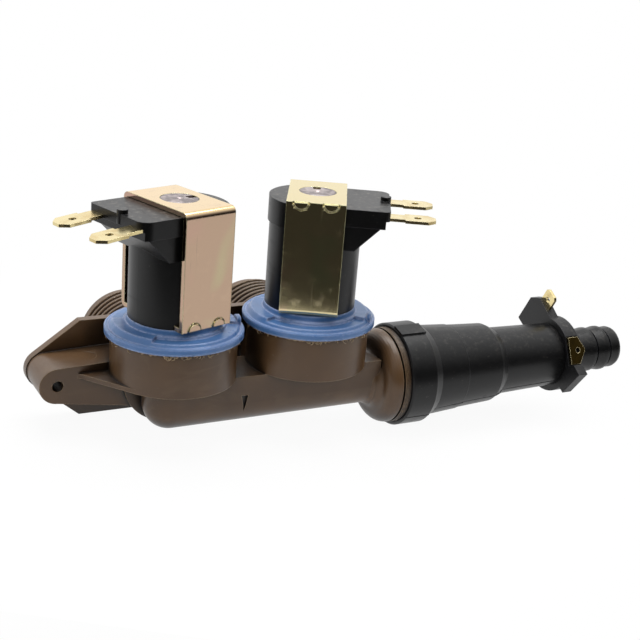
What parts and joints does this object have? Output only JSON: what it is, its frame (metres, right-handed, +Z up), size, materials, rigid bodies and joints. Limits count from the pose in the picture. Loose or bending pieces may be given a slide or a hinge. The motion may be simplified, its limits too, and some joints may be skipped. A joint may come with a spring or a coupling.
{
  "type": "washing machine inlet valve",
  "caption": "Water inlet valve for a washing machine: two threaded inlets on a bracket, solenoid coils in steel yokes on blue covers, and a long barbed outlet with a temperature sensor.",
  "frame": {"origin": "on the bracket's rear face, midway between the two inlet axes and at their height", "axes": "+X along the outlet towards the hose nozzle, +Y out of the inlets, +Z up the coils"},
  "size_m": [0.1779, 0.0633, 0.0686],
  "materials": {
    "body_plastic": "brown glass-filled polyamide, fine satin",
    "black_plastic": "black moulded plastic, satin",
    "carrier_plastic": "dark grey moulded plastic",
    "cover_plastic": "blue moulded plastic, satin",
    "coil_plastic": "black moulding over the winding",
    "bobbin_plastic": "natural plastic",
    "insert_plastic": "natural plastic",
    "screen_plastic": "natural plastic",
    "diaphragm_rubber": "black rubber",
    "seal_rubber": "black rubber",
    "copper_wire": "enamelled copper",
    "yoke_zinc": "yellow passivated zinc on steel",
    "core_steel": "turned steel",
    "armature_steel": "turned stainless steel",
    "spring_steel": "stainless wire",
    "probe_steel": "stainless cap",
    "tab_brass": "stamped brass"
  },
  "bodies": {
    "valve": {"valve_body": "body_plastic", "outlet_housing": "black_plastic", "outlet_seal": "seal_rubber", "sensor_carrier": "carrier_plastic", "thermistor": "probe_steel", "sensor_tab_upper": "tab_brass", "sensor_tab_lower": "tab_brass", "guide_cover_1": "cover_plastic", "diaphragm_1": "diaphragm_rubber", "diaphragm_insert_1": "insert_plastic", "armature_spring_1": "spring_steel", "coil_case_1": "coil_plastic", "bobbin_1": "bobbin_plastic", "winding_1": "copper_wire", "core_plug_1": "core_steel", "yoke_1": "yoke_zinc", "inlet_screen_1": "screen_plastic", "flow_washer_1": "seal_rubber", "coil_tab_1a": "tab_brass", "coil_tab_1b": "tab_brass", "guide_cover_2": "cover_plastic", "diaphragm_2": "diaphragm_rubber", "diaphragm_insert_2": "insert_plastic", "armature_spring_2": "spring_steel", "coil_case_2": "coil_plastic", "bobbin_2": "bobbin_plastic", "winding_2": "copper_wire", "core_plug_2": "core_steel", "yoke_2": "yoke_zinc", "inlet_screen_2": "screen_plastic", "flow_washer_2": "seal_rubber", "coil_tab_2a": "tab_brass", "coil_tab_2b": "tab_brass"},
    "armature_1": {"armature_1": "armature_steel", "armature_pad_1": "seal_rubber"},
    "armature_2": {"armature_2": "armature_steel", "armature_pad_2": "seal_rubber"}
  },
  "joints": [
    {"name": "armature_1_slide", "type": "slide", "parent": "valve", "child": "armature_1", "axis": [0, 0, 1], "range_m": [0, 0.0022], "stiffness_N_per_m": 60, "springref_m": -0.008, "deforming": ["armature_spring_1"]},
    {"name": "armature_2_slide", "type": "slide", "parent": "valve", "child": "armature_2", "axis": [0, 0, 1], "range_m": [0, 0.0022], "stiffness_N_per_m": 60, "springref_m": -0.008, "deforming": ["armature_spring_2"]}
  ]
}
